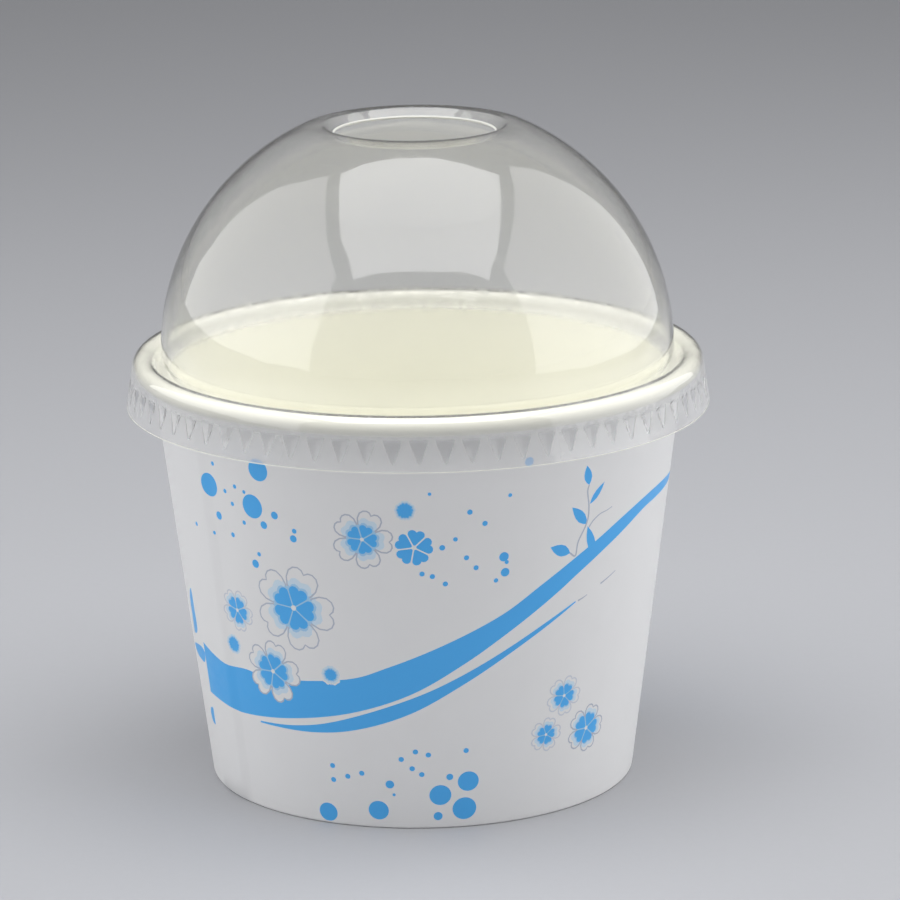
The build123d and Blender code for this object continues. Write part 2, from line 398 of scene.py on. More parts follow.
DOTS = [
    (-25.8, 2.1, 1.70), (-11.8, 3.3, 1.75), (4.3, 6.2, 1.87), (11.5, 8.5, 1.82), (10.6, 3.5, 2.05),
    (-8.6, 8.2, 0.75), (3.7, 2.3, 0.77), (6.7, 9.5, 0.60), (-23.6, 10.9, 0.47), (-23.6, 8.3, 0.47),
    (-19.6, 9.2, 0.47), (-15.8, 10.0, 0.47), (-5.5, 12.9, 0.47), (-1.9, 14.3, 0.47), (1.3, 13.7, 0.47),
    (-2.8, 11.2, 0.47), (-0.4, 10.1, 0.47), (10.8, 14.2, 0.47), (-7.6, 6.3, 0.28), (-53.0, 58.2, 2.10),
    (-39.5, 56.3, 2.15), (-36.8, 63.1, 2.00), (-33.5, 55.4, 0.70), (-36.7, 53.3, 0.70), (-50.9, 53.0, 0.75),
    (-29.1, 51.7, 0.65), (-28.7, 53.1, 0.45), (-50.8, 62.3, 0.40), (-47.6, 57.9, 0.40), (-44.2, 59.2, 0.40),
    (-45.6, 55.9, 0.40), (-41.5, 58.6, 0.35), (-42.5, 53.0, 0.40), (-60.6, 49.9, 0.40), (-53.5, 49.5, 0.35),
    (-46.7, 50.2, 0.45), (-39.0, 47.8, 0.40), (-40.4, 45.9, 0.75), (10.8, 57.4, 0.47), (14.2, 55.2, 0.47),
    (7.7, 52.7, 0.40), (4.8, 51.3, 0.50), (10.2, 49.3, 0.45), (12.4, 47.4, 0.45), (18.8, 48.9, 0.85),
    (19.5, 47.9, 0.37), (19.2, 46.1, 0.78), (17.1, 44.8, 0.40), (0.3, 46.7, 0.45), (2.6, 46.2, 0.45),
    (5.5, 44.8, 0.45), (19.7, 59.8, 0.35), (2.1, 60.9, 0.30), (23.7, 65.4, 0.80),
]  # fmt: skip
SEAM_DOT = (-69.8, 13.0, 1.60)

# Centre, petal radius, glow radius, outline radius, outline ink, tilt in degrees
FLOWERS = [
    (-12.8, 52.7, 2.6, 3.5, 5.1, "line", 68),
    (-1.4, 51.4, 3.2, 0.0, 0.0, None, 80),
    (37.3, 21.6, 2.1, 2.6, 3.5, "faint", 62),
    (32.5, 15.1, 1.75, 2.2, 3.0, "faint", 75),
    (46.0, 14.3, 2.8, 3.3, 4.2, "line", 68),
    (-48.6, 36.3, 2.4, 2.9, 3.7, "faint", 60),
    (-38.7, 26.6, 3.1, 3.9, 5.5, "line", 76),
    (-30.7, 39.1, 4.0, 5.0, 7.5, "line", 68),
]
BUDS = [(-3.2, 58.0, 1.37, 2.0), (-22.3, 27.7, 1.1, 2.0), (-51.7, 29.6, 1.35, 2.1)]

LEAVES = [
    ((39.7, 59.3), (38.6, 62.9), 1.65),
    ((40.4, 55.8), (44.4, 59.2), 1.15),
    ((40.0, 52.3), (35.3, 55.9), 1.8),
    ((35.7, 47.7), (30.2, 49.4), 2.0),
    ((43.0, 46.4), (40.2, 51.9), 1.75),
]
STEM = [
    (39.7, 59.3), (39.4, 58.1), (40.1, 55.6), (40.2, 53.5),
    (39.5, 51.8), (37.8, 49.4), (37.3, 47.0), (35.7, 47.7),
]  # fmt: skip
TENDRIL = [(40.7, 51.6), (41.8, 52.6), (43.8, 53.5), (45.9, 53.8), (47.7, 54.2)]

WAVE_TOP = [
    (-67.5, 27.1), (-56.3, 25.3), (-48.0, 25.6), (-39.0, 25.3), (-18.5, 27.1), (-8.0, 29.7), (5.5, 33.8),
    (19.0, 38.5), (28.3, 42.8), (37.3, 46.6), (43.9, 49.0), (51.5, 51.5), (58.9, 53.2), (66.0, 54.1),
    (74.0, 54.3), (84.0, 53.7), (92.0, 52.6),
]  # fmt: skip
WAVE_FOOT = [
    (-67.5, 18.0), (-55.3, 17.2), (-50.4, 17.1), (-35.4, 18.4), (-18.1, 20.9), (-2.7, 24.8), (10.1, 30.1),
    (19.2, 34.4), (33.7, 41.3), (39.2, 43.9), (48.0, 47.4), (59.5, 51.1), (66.9, 52.1), (76.2, 52.5),
    (84.0, 52.6), (92.0, 52.4),
]  # fmt: skip
SWASH_TOP = [
    (-45.0, 16.6), (-34.0, 17.3), (-22.2, 19.1), (-2.8, 24.0), (10.1, 28.2), (29.0, 35.4), (38.5, 38.7),
]
SWASH_FOOT = [
    (-45.0, 16.3), (-28.8, 16.6), (-16.3, 18.0), (-2.8, 21.3), (10.1, 26.4), (24.2, 32.5), (38.5, 38.4),
]
BRUSH = [[(39.2, 38.6), (40.6, 38.9), (42.0, 39.3)], [(46.2, 40.6), (48.8, 41.3), (51.4, 42.1)]]
SEAM_DASH = [(-80.7, 24.2), (-72.7, 25.4), (-69.3, 24.8), (-70.5, 22.8), (-74.0, 22.7), (-78.4, 23.0)]
SEAM_STRIP = [(-73.4, 35.7), (-73.0, 31.7), (-73.2, 28.1), (-77.1, 27.0), (-76.9, 30.1), (-76.4, 33.4)]

# The same wave on the far side, swelling out of a point instead of out of the seam
FAR_WAVE_TOP = [(92.0, 20.6), (101.0, 22.0), (112.0, 24.0), (125.0, 25.5), (141.0, 25.6)]
FAR_WAVE_TOP += [(u + FAR_SIDE, z) for u, z in WAVE_TOP[4:]]
FAR_WAVE_FOOT = [(92.0, 20.4), (101.0, 19.7), (112.0, 18.5), (125.0, 17.7), (141.6, 18.4)]
FAR_WAVE_FOOT += [(u + FAR_SIDE, z) for u, z in WAVE_FOOT[4:]]

# Later layers print over earlier ones; cover and knock_out are places left white
LAYERS = ("board", "blue", "cover", "haze", "glow", "faint", "line", "petal", "knock_out")


def smooth_line(points, each=6):
    """A smooth line through the points, closed ones too if the first point comes again at the end."""
    around = points[0] == points[-1]
    ring = points[:-1] if around else points
    count = len(ring)
    line = []
    for i in range(count if around else count - 1):
        a, b, c, d = (
            ring[(i + k) % count] if around else ring[min(max(i + k, 0), count - 1)] for k in (-1, 0, 1, 2)
        )
        for j in range(each):
            t = j / each
            place = []
            for p, q, r, s in zip(a, b, c, d):
                curve = 2 * q + (r - p) * t + (2 * p - 5 * q + 4 * r - s) * t**2
                place.append(0.5 * (curve + (3 * q - p - 3 * r + s) * t**3))
            line.append(tuple(place))
    if not around:
        line.append(ring[-1])
    return line


def ribbon(line, width, taper=0.0, k=1.0):
    """Both sides of a line of this width, where k is what a step across measures against one up."""
    left, right = [], []
    for i, (x, y) in enumerate(line):
        a, b = line[max(i - 1, 0)], line[min(i + 1, len(line) - 1)]
        dx, dy = (b[0] - a[0]) * k, b[1] - a[1]
        size = hypot(dx, dy) or 1
        w = width / 2 * (1 - taper * i / (len(line) - 1))
        left.append((x - dy / size * w / k, y + dx / size * w))
        right.append((x + dy / size * w / k, y - dx / size * w))
    return left + right[::-1]


class Wall:
    """The wall's cone: radius at a height, and the lap of its seam."""

    def __init__(self, sizes):
        self.foot_r = sizes.foot_diameter / 2
        self.t = sizes.board
        self.curl_r = sizes.curl_diameter / 2
        self.curl = (sizes.rim_diameter / 2 - self.curl_r, sizes.height - self.curl_r)
        reach = hypot(self.curl[0] - self.foot_r, self.curl[1])
        self.a = atan2(self.curl[0] - self.foot_r, self.curl[1]) - asin((self.curl_r - self.t) / reach)
        self.seam = degrees(sizes.seam_angle)
        self.lap = degrees(sizes.seam_lap / self.foot_r)
        self.ease = degrees(3 * MM / self.foot_r)
        self.low = 0.4 * MM
        self.high = 70 * MM

    def at(self, depth, z):
        """Radius at this height of the line this deep inside the outer face."""
        return self.foot_r - (depth - z * sin(self.a)) / cos(self.a)

    def lift(self, u, z):
        """How far the outer ply stands off the wall."""
        round_from = u - self.seam
        across = min(max((self.lap + self.ease - round_from) / self.ease, 0), 1)
        up = min(max((z - self.low) / (0.7 * MM), 0), 1)
        down = min(max((self.high - z) / (3 * MM), 0), 1)
        return self.t * across**2 * (3 - 2 * across) * up * down

    def point(self, u, z):
        r = self.at(0, z) + self.lift(u, z)
        angle = radians(u - 90)
        return Vector((r * cos(angle), r * sin(angle), z))

    def normal(self, u, z):
        across = self.point(u + 0.2, z) - self.point(u - 0.2, z)
        up = self.point(u, z + 0.1 * MM) - self.point(u, z - 0.1 * MM)
        return across.cross(up).normalized()


class Artwork:
    """Closed shapes of ink in layers, drawn in mm about places on the wall."""

    def __init__(self, wall):
        self.wall = wall
        self.shapes = []

    def shape(self, layer, points):
        """Keeps a shape inside the printed face, the right way round."""
        low, high = self.wall.low / MM + 0.06, self.wall.high / MM - 0.5
        left = self.wall.seam
        kept = []
        for u, z in points:
            p = (max(u, left), min(max(z, low), high))
            if not kept or abs(p[0] - kept[-1][0]) + abs(p[1] - kept[-1][1]) > 1e-4:
                kept.append(p)
        area = sum(a[0] * b[1] - b[0] * a[1] for a, b in zip(kept, kept[1:] + kept[:1]))
        if abs(area) > 1e-3:
            self.shapes.append((layer, kept if area > 0 else kept[::-1]))

    def local(self, u, z, points):
        """Shape drawn in mm about a place on the wall."""
        cos_a = cos(self.wall.a)
        out = []
        for x, y in points:
            level = z + y * cos_a
            out.append((u + degrees(x * MM / self.wall.at(0, level * MM)), level))
        return out

    def disc(self, layer, u, z, r):
        count = 28 if r > 1 else 16
        ring = [(r * cos(2 * pi * i / count), r * sin(2 * pi * i / count)) for i in range(count)]
        self.shape(layer, self.local(u, z, ring))

    def stroke(self, layer, line, width, taper=0.0):
        """A line of ink of this width in mm, thinning towards its end by the taper."""
        self.shape(layer, ribbon(line, width, taper, self.wall.at(0, 50 * MM) / MM * pi / 180))

    def petals(self, layer, u, z, r, tilt, gap=0.2):
        """Five fans round a centre, a thin gap apart, each with an edge of two lobes and a notch between."""

        def side(s):
            return 36 - degrees(asin(min(gap / (2 * s * r), 0.5)))

        for k in range(5):
            mid = tilt + 72 * k
            edge = [(-side(0.7), 0.7), (-side(0.82) + 1, 0.84), (-27, 0.95), (-20, 1.0), (-12, 1.0)]
            edge += [(-5, 0.95), (0, 0.87)]
            edge += [(-t, s) for t, s in reversed(edge[:-1])]
            edge += [(side(0.4), 0.4), (side(0.14), 0.14), (-side(0.14), 0.14), (-side(0.4), 0.4)]
            self.shape(layer, self.local(u, z, [turned((0, 0), r * s, mid + t) for t, s in edge]))

    def bloom(self, u, z, r, tilt, layer, notch=0.9, waist=0.55):
        """The outside of five broad two-lobed petals as one closed line."""
        ring = []
        for k in range(5):
            for t, s in (
                (-36, waist), (-33, waist + 0.16), (-28, 0.86), (-21, 0.97), (-13, 1.0), (-6, 0.96),
                (0, notch), (6, 0.96), (13, 1.0), (21, 0.97), (28, 0.86), (33, waist + 0.16),
            ):  # fmt: skip
                ring.append(turned((0, 0), r * s, tilt + 72 * k + t))
        self.shape(layer, self.local(u, z, ring))

    def outline(self, u, z, r, tilt, layer, width, inner):
        """A fine line round each of five broad petals, running in to the centre between them."""
        for k in range(5):
            mid = tilt + 72 * k
            line = [
                (-33, inner), (-34, 0.55), (-31, 0.76), (-25, 0.92), (-18, 1.0), (-11, 1.02), (-5, 0.985),
                (0, 0.9), (5, 0.985), (11, 1.02), (18, 1.0), (25, 0.92), (31, 0.76), (34, 0.55), (33, inner),
            ]  # fmt: skip
            points = [turned((0, 0), r * s, mid + t) for t, s in line]
            self.shape(layer, self.local(u, z, ribbon(points, width)))


def draw_side(art, turn, wave_top, wave_foot):
    """Draws one side's motifs, turned round the cup by this many degrees."""
    art.shape("blue", smooth_line(wave_top) + smooth_line(wave_foot)[::-1])
    swash = smooth_line(SWASH_TOP) + smooth_line(SWASH_FOOT)[::-1]
    art.shape("blue", [(u + turn, z) for u, z in swash])
    for dash in BRUSH:
        art.stroke("line", [(u + turn, z) for u, z in smooth_line(dash)], 0.32, 0.6)
    for u, z, r in DOTS:
        art.disc("blue", u + turn, z, r)
    for (u0, z0), (u1, z1), width in LEAVES:
        k = art.wall.at(0, z0 * MM) / MM * pi / 180
        dx, dz = (u1 - u0) * k, z1 - z0
        size = hypot(dx, dz)
        side = (-dz / size, dx / size)
        edge = [(0, 0.02), (0.15, 0.3), (0.35, 0.5), (0.55, 0.49), (0.75, 0.34), (0.9, 0.14), (1, 0.0)]
        edge += [(t, -w) for t, w in edge[-2::-1]]
        ring = [(dx * t + side[0] * w * width, dz * t + side[1] * w * width) for t, w in edge]
        art.shape("blue", art.local(u0 + turn, z0, ring))
    art.stroke("line", [(u + turn, z) for u, z in smooth_line(STEM)], 0.3)
    art.stroke("line", [(u + turn, z) for u, z in smooth_line(TENDRIL)], 0.28, 0.5)
    for u, z, r, glow, ring, ink, tilt in FLOWERS:
        u += turn
        if ring:
            art.bloom(u, z, ring, tilt, "cover")
            # Small outlines start nearer the centre, so that the two sides of their line don't cross
            art.outline(u, z, ring, tilt, ink, 0.26, 0.53 if ring > 4 else 0.45)
            art.bloom(u, z, glow * 1.12, tilt, "haze", 0.92, 0.8)
            art.bloom(u, z, (glow + r) / 2, tilt, "glow", 0.9, 0.84)
        art.petals("petal", u, z, r, tilt, 0.14 if r < 2.2 else 0.24)
        if r > 1.7:
            art.disc("knock_out", u, z, 0.1 * r + 0.08)
    for u, z, r, halo in BUDS:
        art.bloom(u + turn, z, halo, 90, "cover", 0.94, 0.8)
        art.bloom(u + turn, z, (halo * 2 + r) / 3, 90, "haze", 0.94, 0.84)
        art.bloom(u + turn, z, (halo + r * 3) / 4, 90, "glow", 0.94, 0.84)
        art.bloom(u + turn, z, r, 90, "petal", 0.82, 0.86)


def printed_skin(wall, slots):
    """The outside face of the wall, as triangles that follow the edges of the ink.

    It is made in code because the ink's edges have to be edges of the mesh, which no extrusion or
    cut gives: the blank's face is laid out flat, divided along every shape at once, and rolled up.
    """
    art = Artwork(wall)
    draw_side(art, 0.0, WAVE_TOP, WAVE_FOOT)
    draw_side(art, FAR_SIDE, FAR_WAVE_TOP, FAR_WAVE_FOOT)
    # What is left of the seam is on the ply that ends under the lap
    art.disc("blue", SEAM_DOT[0] + 360, SEAM_DOT[1], SEAM_DOT[2])
    art.shape("blue", smooth_line([(u + 360, z) for u, z in SEAM_DASH + SEAM_DASH[:1]]))
    art.shape("blue", smooth_line([(u + 360, z) for u, z in SEAM_STRIP + SEAM_STRIP[:1]]))

    # Millimetres to a degree, near enough, so that the triangles of the flat face are well shaped
    scale = 0.7
    left, right = wall.seam, wall.seam + 360
    low, high = wall.low / MM, wall.high / MM
    places, faces, layers = [], [], []

    def keep(points):
        first = len(places)
        places.extend(Vector((u * scale, z)) for u, z in points)
        return list(range(first, len(places)))

    around = [left + 1.25 * i for i in range(289)]
    levels = [low, low + 0.35, low + 0.7] + [1.1 + i * (66.9 - 1.1) / 26 for i in range(1, 27)] + [68.5]
    edge = [(u, low) for u in around] + [(right, z) for z in levels[1:]]
    edge += [(u, high) for u in reversed(around)] + [(left, z) for z in reversed(levels[1:])]
    faces.append(keep(edge))
    layers.append("board")
    lap = [left + wall.lap * t for t in (0.25, 0.5, 0.75, 0.93)] + [
        left + wall.lap + wall.ease * t for t in (0, 0.25, 0.5, 0.75, 1)
    ]
    inside = lap + [left + 2.5 * i for i in range(7, 144)]
    for row, z in enumerate(levels[1:]):
        shift = 0.0 if row < 2 else 1.25 * (row % 2)
        keep([(u + (shift if u > lap[-1] else 0), z) for u in inside])
    for layer, points in art.shapes:
        faces.append(keep(points))
        layers.append(layer)
    flat, _, tiles, _, _, sources = delaunay_2d_cdt(places, [], faces, 1, 1e-5, True)

    height = {name: i for i, name in enumerate(LAYERS)}
    verts, normals = [], []
    for p in flat:
        u, z = p.x / scale, p.y * MM
        verts.append(wall.point(u, z))
        normals.append(wall.normal(min(max(u, left + 0.2), right), z))
    kept, inks = [], []
    for tile, source in zip(tiles, sources):
        if 0 in source:
            kept.append(tile)
            inks.append(slots[max((layers[s] for s in source), key=height.get)])
    # The cut edge of the outer ply, between the face's two ends
    near = sorted((p.y, i) for i, p in enumerate(flat) if abs(p.x / scale - left) < 1e-3)
    far = sorted((p.y, i) for i, p in enumerate(flat) if abs(p.x / scale - right) < 1e-3)
    a = b = 0
    while a < len(near) - 1 or b < len(far) - 1:
        step_near = b == len(far) - 1 or (a < len(near) - 1 and near[a + 1][0] <= far[b + 1][0])
        third = near[a + 1][1] if step_near else far[b + 1][1]
        kept.append([near[a][1], far[b][1], third])
        inks.append(slots["cut"])
        a, b = (a + 1, b) if step_near else (a, b + 1)
    mesh = bpy.data.meshes.new("printed_face")
    mesh.from_pydata(verts, [], kept)
    mesh.polygons.foreach_set("material_index", inks)
    face = bpy.data.objects.new("printed_face", mesh)
    bpy.context.collection.objects.link(face)
    return face


def shade_as_cone(mesh, wall, slots):
    """Shades the printed face as the true cone and lap, whatever triangles the ink's edges make."""
    normals = [(0.0, 0.0, 0.0)] * len(mesh.loops)
    for face in mesh.polygons:
        middle = face.center
        if face.material_index in (slots["lining"], slots["cut"]):
            continue
        on_face = wall.at(0, middle.z) - 0.05 * MM < hypot(middle.x, middle.y)
        if not (on_face and wall.low < middle.z < wall.high):
            continue
        mid_u = degrees(atan2(middle.x, -middle.y))
        mid_u += 360 if mid_u < wall.seam else 0
        for i in face.loop_indices:
            co = mesh.vertices[mesh.loops[i].vertex_index].co
            u = degrees(atan2(co.x, -co.y))
            u += 360 * round((mid_u - u) / 360)
            normals[i] = wall.normal(max(u, wall.seam + 0.2), co.z)
    mesh.normals_split_custom_set(normals)


def board_outline(wall, sizes):
    """The board's section from below the curl, round it, down the inside and round the foot's hem,
    as points and, for each run between points, which face of the board it is."""
    # The rim is rolled one and a half turns, the second half turn about its own centre
    tilt = -degrees(wall.a)
    pitch = wall.t + 0.07 * MM
    second = turned(wall.curl, pitch / 2, tilt)
    inward, half = tilt + 180, wall.t / 2
    r1 = wall.curl_r - half
    r2, r3 = r1 - pitch / 2, r1 - pitch
    parts = [
        ("outer", [(wall.at(0, wall.high), wall.high), (wall.at(0, 71.6 * MM), 71.6 * MM)]),
        ("outer", arc(wall.curl, r1 - half, inward, tilt)),
        ("outer", arc(second, r2 - half, tilt, tilt - 180)),
        ("outer", arc(wall.curl, r3 - half, inward, tilt)),
        ("inner", arc(wall.curl, r3 + half, tilt, inward)),
        ("inner", arc(second, r2 + half, tilt - 180, tilt)),
        ("inner", arc(wall.curl, wall.curl_r, tilt, inward, 9)),
    ]
    seal = 0.03 * MM
    fold_r = half + seal
    fold_z = half + fold_r
    hem_in = half + 2 * (wall.t + seal)
    outer_fold = (wall.at(half + fold_r, fold_z), fold_z)
    inner_fold = (wall.at(hem_in - fold_r, fold_z), fold_z)
    for z in (60, 50, 40, 30, 20, 12):
        parts.append(("inner", [(wall.at(wall.t, z * MM), z * MM)]))
    parts += [
        ("inner", arc(outer_fold, seal, tilt, -90, 30)),
        ("inner", arc(inner_fold, seal, -90, tilt - 180, 30)),
        ("inner", [(wall.at(hem_in - half, sizes.hem), sizes.hem)]),
        ("outer", [(wall.at(hem_in + half, sizes.hem), sizes.hem)]),
        ("outer", arc(inner_fold, fold_r + half, tilt - 180, -90, 12)),
        ("outer", arc(outer_fold, fold_r + half, -90, tilt, 12)),
        ("outer", [(wall.at(0, wall.low), wall.low)]),
    ]
    points, sides = [], []
    for side, run in parts:
        for p in run:
            if points and hypot(p[0] - points[-1][0], p[1] - points[-1][1]) < 1e-7:
                continue
            if points:
                sides.append(side)
            points.append(p)
    return points, sides


class DESSERTCUP_OT_sidewall(bpy.types.Operator):
    """Builds the printed wall with its rolled rim, lapped seam and folded foot"""

    bl_idname = "dessertcup.sidewall"
    bl_label = "Printed Wall"

    def execute(self, context):
        sizes, tones = context.scene.cup_sizes, context.scene.cup_colours
        wall = Wall(sizes)
        names = ("board", "blue", "haze", "glow", "faint", "line", "lining", "cut")
        materials = [
            coated_cupstock("coated_cupstock_white", tones.board_white, 0.42, 0.16, 0.035),
            printed_ink("flexo_ink_blue", tones.ink_blue, 0.36),
            printed_ink("flexo_ink_pale_haze", tones.ink_haze, 0.4),
            printed_ink("flexo_ink_light_glow", tones.ink_glow, 0.38),
            printed_ink("flexo_ink_faint_grey", tones.ink_faint, 0.4),
            printed_ink("flexo_ink_grey_line", tones.ink_line, 0.4),
            coated_cupstock("lined_cupstock_cream", tones.lining_cream, 0.38, 0.14, 0.03),
            cut_board("cut_board_edge", tones.cut_edge),
        ]
        slots = {name: i for i, name in enumerate(names)}
        slots.update(cover=0, knock_out=0, petal=1)
        points, sides = board_outline(wall, sizes)
        azimuth = radians(wall.seam - 90)
        shell = spun("printed_wall", points, 288, azimuth)
        middles = [
            ((a[0] + b[0]) / 2, (a[1] + b[1]) / 2, side) for a, b, side in zip(points, points[1:], sides)
        ]
        give(shell, materials)
        for face in shell.data.polygons:
            # A spun face is flat, so its middle stands a little inside the outline's radius
            r = hypot(face.center.x, face.center.y) / cos(pi / 288)
            side = min(middles, key=lambda m: (m[0] - r) ** 2 + (m[1] - face.center.z) ** 2)[2]
            face.material_index = slots["lining"] if side == "inner" else 0
        skin = printed_skin(wall, slots)
        give(skin, materials)
        shell = joined(shell, skin)
        faces_out(shell)
        bpy.ops.object.shade_smooth_by_angle(angle=radians(40))
        shade_as_cone(shell.data, wall, slots)
        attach(shell, "cup")
        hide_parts("sidewall")
        return {"FINISHED"}


class DESSERTCUP_OT_base_disc(bpy.types.Operator):
    """Builds the base disc with its turned-down skirt"""

    bl_idname = "dessertcup.base_disc"
    bl_label = "Base Disc"

    def execute(self, context):
        sizes, tones = context.scene.cup_sizes, context.scene.cup_colours
        wall = Wall(sizes)
        half, seal = wall.t / 2, 0.03 * MM
        tilt = -degrees(wall.a)
        skirt = half + wall.t + seal
        disc_z = sizes.recess + half
        corner_z = disc_z - 0.6 * MM
        corner = (wall.at(skirt + 0.6 * MM, corner_z), corner_z)
        end_z = wall.t + 2 * seal
        top = [(0.0, disc_z + half), (0.012, disc_z + half), (0.026, disc_z + half)]
        top += arc(corner, 0.6 * MM + half, 90, tilt, 14)
        skirt_out = [(wall.at(skirt - half, end_z), end_z)]
        skirt_in = [(wall.at(skirt + half, end_z), end_z)]
        under = arc(corner, 0.6 * MM - half, tilt, 90, 14)
        under += [(0.026, disc_z - half), (0.012, disc_z - half), (0.0, disc_z - half)]
        disc = spun("base_disc_board", top + skirt_out + skirt_in + under, 288)
        faces_out(disc)
        materials = [
            coated_cupstock("lined_cupstock_cream_base", tones.lining_cream, 0.38, 0.14, 0.03),
            coated_cupstock("uncoated_cupstock_white", tones.board_white, 0.62, 0.3, 0.05),
        ]
        give(disc, materials)
        for face in disc.data.polygons:
            r = hypot(face.center.x, face.center.y)
            above = face.center.z > disc_z or r > wall.at(skirt, face.center.z)
            face.material_index = 0 if above else 1
        only(disc)
        bpy.ops.object.shade_smooth_by_angle(angle=radians(40))
        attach(disc, "cup")
        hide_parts("base_disc")
        return {"FINISHED"}


def lid_outline(wall, sizes, lid):
    """Middle of the film from the edge of the hole down the dome, round the ring and over the rim."""
    half = lid.film / 2
    dome_a = sizes.rim_diameter / 2 - lid.dome_inset - half
    dome_b = lid.dome_rise - half
    dome_z = sizes.height + 0.9 * MM
    crest_x = lid.hole_diameter / 2 + 2.2 * MM
    shoulder_r = crest_x + 3.9 * MM
    t = atan2(sqrt(dome_a**2 - shoulder_r**2), shoulder_r)
    shoulder_z = dome_z + dome_b * sin(t)
    slope = atan2(dome_b * cos(t), dome_a * sin(t))
    blend = (shoulder_r - crest_x) / sin(slope)
    blend_c = (crest_x, shoulder_z - blend * cos(slope))
    crest_c = (crest_x, blend_c[1] + blend - MM)
    lip = turned(crest_c, MM, 130)
    run = lip[0] - lid.hole_diameter / 2
    line = [(lip[0] - s, lip[1] - s * tan(radians(40))) for s in (run, run - 0.25 * MM, run / 2)]
    line += arc(crest_c, MM, 130, 90, 10)
    line += arc(blend_c, blend, 90, 90 - degrees(slope), 4)[1:]
    count = 24
    for i in range(1, count + 1):
        s = t * (1 - i / count)
        line.append((dome_a * cos(s), dome_z + dome_b * sin(s)))
    seat = wall.curl_r + 0.1 * MM + half
    ring_top = turned(wall.curl, seat, 160)
    foot_c = (dome_a - 2.5 * MM, dome_z)
    foot_end = turned(foot_c, 2.5 * MM, -30)
    corner = 0.5 * MM
    ring_z = sizes.height - 2.6 * MM + half + corner
    lean, foot = radians(20), radians(30)
    out_x = ring_top[0] - (corner - sin(lean) * (ring_z - ring_top[1])) / cos(lean)
    in_x = foot_end[0] + (corner + sin(foot) * (ring_z - foot_end[1])) / cos(foot)
    line += arc(foot_c, 2.5 * MM, 0, -30, 6)[1:]
    line += arc((in_x, ring_z), corner, 150, 270, 15)
    line += arc((out_x, ring_z), corner, -90, -20, 15)
    line += arc(wall.curl, seat, 160, degrees(lid.skirt_flare), 9)
    return line


class Skirt:
    """The lid's flared skirt: its levels, and the dents pressed into it."""

    COLUMNS = 6

    def __init__(self, sizes, lid, top):
        self.top_r, self.top_z = top
        self.flare = lid.skirt_flare
        self.dents = lid.dents
        self.period = 2 * pi / lid.dents
        self.end_z = sizes.height - lid.skirt_depth
        self.trim_z = self.end_z + 0.16 * MM
        # A dent is deepest just under its ledge, and runs out to a point
        self.ledge, self.deep, self.tip = (sizes.height - drop * MM for drop in (3.15, 3.65, 7.0))
        self.inner = sizes.rim_diameter / 2 + 0.05 * MM + lid.film / 2
        self.wide, self.narrow = 1.45 * MM / self.top_r, 0.22 * MM / self.top_r
        self.dent_levels = [self.deep + (self.tip - self.deep) * t for t in (0, 0.25, 0.5, 0.75, 1.0)]
        self.levels = [self.top_z, (self.top_z + self.ledge) / 2, self.ledge] + self.dent_levels
        self.levels += [(self.tip * 2 + self.end_z) / 3, self.trim_z, self.end_z]

    def radius(self, z):
        return self.top_r + (self.top_z - z) * tan(self.flare)

    def share(self, z):
        """How much of a dent's depth and width is left at this height."""
        return (z - self.tip) / (self.deep - self.tip)

    def half_width(self, z):
        return self.narrow + (self.wide - self.narrow) * self.share(z)

    def plain(self, i, z):
        """Where a column stands at this height before the dent is pressed."""
        angle = self.period * (i / self.COLUMNS - 0.5)
        return Vector((self.radius(z) * cos(angle), self.radius(z) * sin(angle), z))

    def pressed(self, i, z):
        """Where a dent's column stands: its middle is pushed in, its next columns half as far."""
        half = self.COLUMNS // 2
        angle = self.half_width(z) * (i - half) / (half - 1)
        push = {0: 1.0, 1: 0.5}.get(abs(i - half), 0.0)
        r = self.radius(z) - (self.radius(z) - self.inner) * self.share(z) * push
        return Vector((r * cos(angle), r * sin(angle), z))

    def in_dent(self, place):
        if not self.tip < place.z < self.ledge or hypot(place.x, place.y) < self.top_r - 0.6 * MM:
            return False
        turns = atan2(place.y, place.x) / self.period
        return abs(turns - round(turns)) * self.period < self.half_width(min(place.z, self.deep))


def dented_skirt(skirt):
    """One dent's share of the skirt, a row of edges extruded down and drawn out with the flare, then
    pressed with its dent and copied round."""
    obj = lone_vertex("dented_skirt", skirt.plain(0, skirt.top_z))
    for i in range(skirt.COLUMNS):
        move = skirt.plain(i + 1, skirt.top_z) - skirt.plain(i, skirt.top_z)
        bpy.ops.mesh.extrude_vertices_move(TRANSFORM_OT_translate={"value": move})
    bpy.ops.mesh.select_all(action="SELECT")
    for above, below in zip(skirt.levels, skirt.levels[1:]):
        bpy.ops.mesh.extrude_edges_move(TRANSFORM_OT_translate={"value": (0, 0, below - above)})
        grow = skirt.radius(below) / skirt.radius(above)
        bpy.ops.transform.resize(value=(grow, grow, 1), center_override=(0, 0, 0))
    inside = range(1, skirt.COLUMNS)
    for z in skirt.dent_levels:
        for i in inside:
            here = skirt.plain(i, z)
            pick(obj, lambda co: (co - here).length < 2e-5)
            bpy.ops.transform.translate(value=skirt.pressed(i, z) - here)
    # Pressed sharp: the dent's two sides, its valley, its ledge and its foot
    folds = (1, skirt.COLUMNS // 2, skirt.COLUMNS - 1)
    creases = [[skirt.pressed(i, z) for z in skirt.dent_levels] for i in folds]
    creases += [[skirt.pressed(i, z) for i in inside] for z in (skirt.deep, skirt.tip)]
    for crease in creases:
        pick(obj, lambda co: min((co - p).length for p in crease) < 2e-6)
        bpy.ops.mesh.mark_sharp()
    bpy.ops.mesh.select_all(action="SELECT")
    bpy.ops.mesh.spin(
        steps=skirt.dents - 1,
        dupli=True,
        angle=2 * pi - skirt.period,
        center=(0, 0, 0),
        axis=(0, 0, 1),
    )
    bpy.ops.object.mode_set(mode="OBJECT")
    return obj


